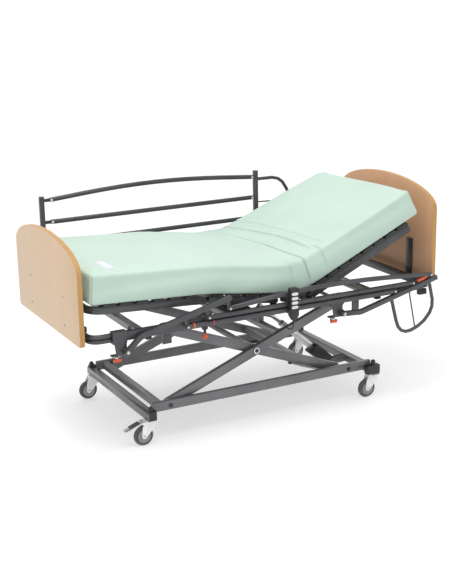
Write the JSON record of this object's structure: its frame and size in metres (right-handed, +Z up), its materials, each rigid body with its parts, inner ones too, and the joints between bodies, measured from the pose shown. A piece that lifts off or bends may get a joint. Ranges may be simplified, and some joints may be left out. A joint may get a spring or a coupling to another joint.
{
  "type": "adjustable hospital bed",
  "caption": "Height-adjustable care bed with a scissor trolley on casters, a jointed platform, folding side rails, wooden ends and a foam mattress.",
  "frame": {"origin": "centre of the bounding box at floor level, in the stored pose", "axes": "+X along the bed towards the headboard, +Z up, -Y towards the side with the folded rail and the handset"},
  "size_m": [2.017, 1.0298, 1.1335],
  "materials": {
    "grey_powder_coat": "satin metallic powder coat",
    "black_powder_coat": "satin powder coat",
    "bright_steel": "zinc plated",
    "black_plastic": "fine texture",
    "grey_plastic": "smooth",
    "orange_plastic": "smooth",
    "beech": "clear satin lacquer",
    "tyre_rubber": "matte",
    "mint_cover": "coated stretch cover",
    "slat_lacquer": "dark lacquer"
  },
  "bodies": {
    "base": {"base_frame": "grey_powder_coat"},
    "scissor_outer": {"scissor_outer_frame": "grey_powder_coat"},
    "scissor_inner": {"scissor_inner_frame": "grey_powder_coat", "lift_cord": "black_plastic"},
    "lift_motor": {"lift_motor_housing": "black_plastic", "lift_outer_tube": "bright_steel"},
    "lift_rod": {"lift_push_rod": "bright_steel"},
    "bed_frame": {"upper_frame": "grey_powder_coat", "foot_board_carrier": "grey_powder_coat", "head_board_carrier": "black_powder_coat", "footboard": "beech", "headboard": "beech", "seat_slats": "slat_lacquer", "mattress_seat": "mint_cover", "back_motor_housing": "black_plastic", "leg_motor_housing": "black_plastic", "control_box": "black_plastic", "near_foot_clamp": "grey_powder_coat", "near_head_clamp": "grey_powder_coat", "far_foot_clamp": "grey_powder_coat", "far_head_clamp": "grey_powder_coat", "handset": "black_plastic", "handset_cord": "black_plastic"},
    "back_section": {"back_section_frame": "grey_powder_coat", "back_slats": "slat_lacquer", "mattress_back": "mint_cover"},
    "thigh_section": {"thigh_section_frame": "grey_powder_coat", "mattress_thigh": "mint_cover"},
    "leg_section": {"leg_section_frame": "grey_powder_coat", "leg_slats": "slat_lacquer", "mattress_leg": "mint_cover"},
    "back_rod": {"back_push_rod": "bright_steel"},
    "thigh_rod": {"leg_push_rod": "bright_steel"},
    "brake": {"brake_pedal": "bright_steel"},
    "caster_foot_near": {"caster_fork_foot_near": "bright_steel"},
    "wheel_foot_near": {"caster_wheel_foot_near": "tyre_rubber"},
    "caster_foot_far": {"caster_fork_foot_far": "bright_steel"},
    "wheel_foot_far": {"caster_wheel_foot_far": "tyre_rubber"},
    "caster_head_near": {"caster_fork_head_near": "bright_steel"},
    "wheel_head_near": {"caster_wheel_head_near": "tyre_rubber"},
    "caster_head_far": {"caster_fork_head_far": "bright_steel"},
    "wheel_head_far": {"caster_wheel_head_far": "tyre_rubber"},
    "near_post_foot": {"near_rail_foot_post": "grey_powder_coat"},
    "near_post_head": {"near_rail_head_post": "grey_powder_coat"},
    "near_bar_low": {"near_rail_low_bar": "grey_powder_coat"},
    "near_bar_middle": {"near_rail_middle_bar": "grey_powder_coat"},
    "near_bar_top": {"near_rail_top_bar": "grey_powder_coat"},
    "near_foot_knob": {"near_foot_clamp_knob": "orange_plastic"},
    "near_head_knob": {"near_head_clamp_knob": "orange_plastic"},
    "far_post_foot": {"far_rail_foot_post": "black_powder_coat"},
    "far_post_head": {"far_rail_head_post": "black_powder_coat"},
    "far_bar_low": {"far_rail_low_bar": "black_powder_coat"},
    "far_bar_middle": {"far_rail_middle_bar": "black_powder_coat"},
    "far_bar_top": {"far_rail_top_bar": "black_powder_coat"},
    "far_foot_knob": {"far_foot_clamp_knob": "orange_plastic"},
    "far_head_knob": {"far_head_clamp_knob": "orange_plastic"},
    "button_1": {"handset_button_1": "grey_plastic"},
    "button_2": {"handset_button_2": "grey_plastic"},
    "button_3": {"handset_button_3": "grey_plastic"},
    "button_4": {"handset_button_4": "grey_plastic"}
  },
  "joints": [
    {"name": "lift_hinge", "type": "hinge", "parent": "base", "child": "scissor_outer", "pos_m": [-0.5325, 0.01635, 0.178], "axis": [0, -1, 0], "range_deg": [-9, 8]},
    {"name": "scissor_centre_hinge", "type": "hinge", "parent": "scissor_outer", "child": "scissor_inner", "pos_m": [-0.0345, 0.01635, 0.367], "axis": [0, -1, 0], "range_deg": [-16.2, 18.2]},
    {"name": "bed_frame_hinge", "type": "hinge", "parent": "scissor_inner", "child": "bed_frame", "pos_m": [-0.5325, 0.01635, 0.556], "axis": [0, -1, 0], "range_deg": [-9.2, 8.2]},
    {"name": "lift_motor_hinge", "type": "hinge", "parent": "base", "child": "lift_motor", "pos_m": [0.5525, -0.10365, 0.14], "axis": [0, -1, 0], "range_deg": [-4, 4.5]},
    {"name": "lift_rod_slide", "type": "slide", "parent": "lift_motor", "child": "lift_rod", "axis": [-0.7557, 0, 0.6549], "range_m": [-0.106, 0.095]},
    {"name": "back_hinge", "type": "hinge", "parent": "bed_frame", "child": "back_section", "pos_m": [0.2475, 0.01635, 0.64], "axis": [0, -1, 0], "range_deg": [-24.4, 43.6]},
    {"name": "back_rod_slide", "type": "slide", "parent": "bed_frame", "child": "back_rod", "axis": [1, 0, 0], "range_m": [-0.042, 0.074]},
    {"name": "thigh_hinge", "type": "hinge", "parent": "bed_frame", "child": "thigh_section", "pos_m": [0.0375, 0.01635, 0.64], "axis": [0, 1, 0], "range_deg": [-7.8, 22.2]},
    {"name": "leg_hinge", "type": "hinge", "parent": "thigh_section", "child": "leg_section", "pos_m": [-0.3588, 0.01635, 0.69429], "axis": [0, 1, 0], "range_deg": [-22.4, 8]},
    {"name": "leg_rod_slide", "type": "slide", "parent": "bed_frame", "child": "thigh_rod", "axis": [-1, 0, 0], "range_m": [-0.015, 0.04]},
    {"name": "caster_swivel_foot_near", "type": "hinge", "parent": "base", "child": "caster_foot_near", "pos_m": [-0.6475, -0.35265, 0.11], "axis": [0, 0, 1], "continuous": true},
    {"name": "wheel_spin_foot_near", "type": "hinge", "parent": "caster_foot_near", "child": "wheel_foot_near", "pos_m": [-0.6845, -0.35265, 0.05], "axis": [0, 1, 0], "continuous": true},
    {"name": "caster_swivel_foot_far", "type": "hinge", "parent": "base", "child": "caster_foot_far", "pos_m": [-0.6475, 0.38535, 0.11], "axis": [0, 0, 1], "continuous": true},
    {"name": "wheel_spin_foot_far", "type": "hinge", "parent": "caster_foot_far", "child": "wheel_foot_far", "pos_m": [-0.6845, 0.38535, 0.05], "axis": [0, 1, 0], "continuous": true},
    {"name": "caster_swivel_head_near", "type": "hinge", "parent": "base", "child": "caster_head_near", "pos_m": [0.6595, -0.35265, 0.11], "axis": [0, 0, 1], "continuous": true},
    {"name": "wheel_spin_head_near", "type": "hinge", "parent": "caster_head_near", "child": "wheel_head_near", "pos_m": [0.6225, -0.35265, 0.05], "axis": [0, 1, 0], "continuous": true},
    {"name": "caster_swivel_head_far", "type": "hinge", "parent": "base", "child": "caster_head_far", "pos_m": [0.6595, 0.38535, 0.11], "axis": [0, 0, 1], "continuous": true},
    {"name": "wheel_spin_head_far", "type": "hinge", "parent": "caster_head_far", "child": "wheel_head_far", "pos_m": [0.6225, 0.38535, 0.05], "axis": [0, 1, 0], "continuous": true},
    {"name": "brake_pedal_hinge", "type": "hinge", "parent": "caster_foot_near", "child": "brake", "pos_m": [-0.6935, -0.35265, 0.1195], "axis": [0, 1, 0], "range_deg": [-10, 8]},
    {"name": "near_foot_post_hinge", "type": "hinge", "parent": "bed_frame", "child": "near_post_foot", "pos_m": [-0.7975, -0.46865, 0.532], "axis": [0, -1, 0], "range_deg": [0, 76]},
    {"name": "near_head_post_hinge", "type": "hinge", "parent": "bed_frame", "child": "near_post_head", "pos_m": [0.3975, -0.46865, 0.532], "axis": [0, -1, 0], "range_deg": [0, 76]},
    {"name": "near_low_bar_hinge", "type": "hinge", "parent": "near_post_foot", "child": "near_bar_low", "pos_m": [-0.48483, -0.46865, 0.60481], "axis": [0, -1, 0], "range_deg": [-76.5, 0.5]},
    {"name": "near_middle_bar_hinge", "type": "hinge", "parent": "near_post_foot", "child": "near_bar_middle", "pos_m": [-0.3713, -0.46865, 0.63311], "axis": [0, -1, 0], "range_deg": [-76.5, 0.5]},
    {"name": "near_top_bar_hinge", "type": "hinge", "parent": "near_post_foot", "child": "near_bar_top", "pos_m": [-0.25778, -0.46865, 0.66141], "axis": [0, -1, 0], "range_deg": [-76.5, 0.5]},
    {"name": "near_foot_knob_spin", "type": "hinge", "parent": "bed_frame", "child": "near_foot_knob", "pos_m": [-0.8355, -0.42865, 0.5], "axis": [0, 0, 1], "continuous": true},
    {"name": "near_head_knob_spin", "type": "hinge", "parent": "bed_frame", "child": "near_head_knob", "pos_m": [0.3595, -0.42865, 0.5], "axis": [0, 0, 1], "continuous": true},
    {"name": "far_foot_post_hinge", "type": "hinge", "parent": "bed_frame", "child": "far_post_foot", "pos_m": [-0.7975, 0.50135, 0.532], "axis": [0, 1, 0], "range_deg": [0, 76]},
    {"name": "far_head_post_hinge", "type": "hinge", "parent": "bed_frame", "child": "far_post_head", "pos_m": [0.3975, 0.50135, 0.532], "axis": [0, 1, 0], "range_deg": [0, 76]},
    {"name": "far_low_bar_hinge", "type": "hinge", "parent": "far_post_foot", "child": "far_bar_low", "pos_m": [-0.7925, 0.50135, 0.853], "axis": [0, 1, 0], "range_deg": [-76.5, 0.5]},
    {"name": "far_middle_bar_hinge", "type": "hinge", "parent": "far_post_foot", "child": "far_bar_middle", "pos_m": [-0.7925, 0.50135, 0.97], "axis": [0, 1, 0], "range_deg": [-76.5, 0.5]},
    {"name": "far_top_bar_hinge", "type": "hinge", "parent": "far_post_foot", "child": "far_bar_top", "pos_m": [-0.7925, 0.50135, 1.087], "axis": [0, 1, 0], "range_deg": [-76.5, 0.5]},
    {"name": "far_foot_knob_spin", "type": "hinge", "parent": "bed_frame", "child": "far_foot_knob", "pos_m": [-0.8355, 0.46135, 0.5], "axis": [0, 0, 1], "continuous": true},
    {"name": "far_head_knob_spin", "type": "hinge", "parent": "bed_frame", "child": "far_head_knob", "pos_m": [0.3595, 0.46135, 0.5], "axis": [0, 0, 1], "continuous": true},
    {"name": "button_1_press", "type": "slide", "parent": "bed_frame", "child": "button_1", "axis": [0, 1, 0], "range_m": [0, 0.0016], "stiffness_N_per_m": 150},
    {"name": "button_2_press", "type": "slide", "parent": "bed_frame", "child": "button_2", "axis": [0, 1, 0], "range_m": [0, 0.0016], "stiffness_N_per_m": 150},
    {"name": "button_3_press", "type": "slide", "parent": "bed_frame", "child": "button_3", "axis": [0, 1, 0], "range_m": [0, 0.0016], "stiffness_N_per_m": 150},
    {"name": "button_4_press", "type": "slide", "parent": "bed_frame", "child": "button_4", "axis": [0, 1, 0], "range_m": [0, 0.0016], "stiffness_N_per_m": 150}
  ],
  "couplings": [
    {"joint": "scissor_centre_hinge", "follows": "lift_hinge", "ratio": -2},
    {"joint": "bed_frame_hinge", "follows": "lift_hinge", "ratio": 1},
    {"joint": "lift_motor_hinge", "follows": "lift_hinge", "ratio": -0.48},
    {"joint": "lift_rod_slide", "follows": "lift_hinge", "m_per_rad": 0.666},
    {"joint": "back_rod_slide", "follows": "back_hinge", "m_per_rad": 0.0957},
    {"joint": "leg_hinge", "follows": "thigh_hinge", "ratio": -1},
    {"joint": "leg_rod_slide", "follows": "thigh_hinge", "m_per_rad": 0.0992},
    {"joint": "near_head_post_hinge", "follows": "near_foot_post_hinge", "ratio": 1},
    {"joint": "near_low_bar_hinge", "follows": "near_foot_post_hinge", "ratio": -1},
    {"joint": "near_middle_bar_hinge", "follows": "near_foot_post_hinge", "ratio": -1},
    {"joint": "near_top_bar_hinge", "follows": "near_foot_post_hinge", "ratio": -1},
    {"joint": "far_head_post_hinge", "follows": "far_foot_post_hinge", "ratio": 1},
    {"joint": "far_low_bar_hinge", "follows": "far_foot_post_hinge", "ratio": -1},
    {"joint": "far_middle_bar_hinge", "follows": "far_foot_post_hinge", "ratio": -1},
    {"joint": "far_top_bar_hinge", "follows": "far_foot_post_hinge", "ratio": -1}
  ]
}
